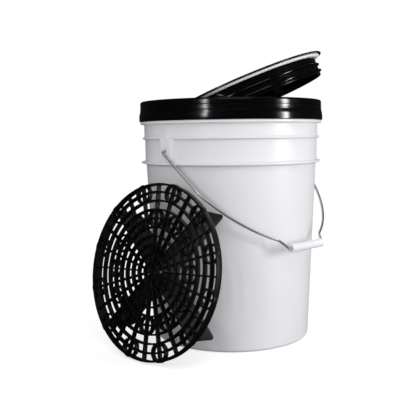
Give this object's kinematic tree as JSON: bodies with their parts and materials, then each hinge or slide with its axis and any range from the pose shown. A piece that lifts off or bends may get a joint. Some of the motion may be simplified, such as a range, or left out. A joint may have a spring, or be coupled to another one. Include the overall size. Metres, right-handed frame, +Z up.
{
  "type": "wash bucket",
  "caption": "Round wash bucket with a push-fit threaded ring, leaning screw lid, wire bail with a tube grip, and a finned grit guard leaning on its wall.",
  "frame": {"origin": "centre of the pail's underside, on the floor", "axes": "+Z up the pail's axis; -Y towards the viewer; +X to the viewer's right, the side the lid's high edge is on"},
  "size_m": [0.3802, 0.3883, 0.4642],
  "materials": {
    "white_pail": "moulded white polyethylene, satin gloss",
    "black_gloss": "moulded black plastic, glossy",
    "seal_rubber": "black sealing rubber",
    "seal_white": "white silicone seal",
    "zinc_wire": "bright zinc-plated steel wire",
    "grip_white": "moulded white polyethylene tube",
    "guard_black": "moulded black plastic, semi-matt"
  },
  "bodies": {
    "bucket": {"bucket_body": "white_pail", "adapter_ring": "black_gloss", "ring_gasket": "seal_rubber"},
    "bail": {"bail_wire": "zinc_wire"},
    "grip": {"bail_grip": "grip_white"},
    "lid": {"screw_lid": "black_gloss", "lid_gasket": "seal_white"},
    "guard": {"guard_grille": "guard_black", "guard_fin_1": "guard_black", "guard_fin_2": "guard_black", "guard_fin_3": "guard_black", "guard_fin_4": "guard_black"}
  },
  "joints": [
    {"name": "bail_swing", "type": "hinge", "parent": "bucket", "child": "bail", "pos_m": [0, 0, 0.309], "axis": [-0.682, -0.7314, 0], "range_deg": [0, 80]},
    {"name": "grip_spin", "type": "hinge", "parent": "bail", "child": "grip", "pos_m": [0.11446, -0.10674, 0.16305], "axis": [-0.682, -0.7314, 0], "continuous": true},
    {"name": "lid_lift", "type": "slide", "parent": "bucket", "child": "lid", "axis": [0, 0, 1], "range_m": [0, 0.15]},
    {"name": "guard_slide", "type": "slide", "parent": "bucket", "child": "guard", "axis": [-0.6488, -0.761, 0], "range_m": [0, 0.15]}
  ]
}
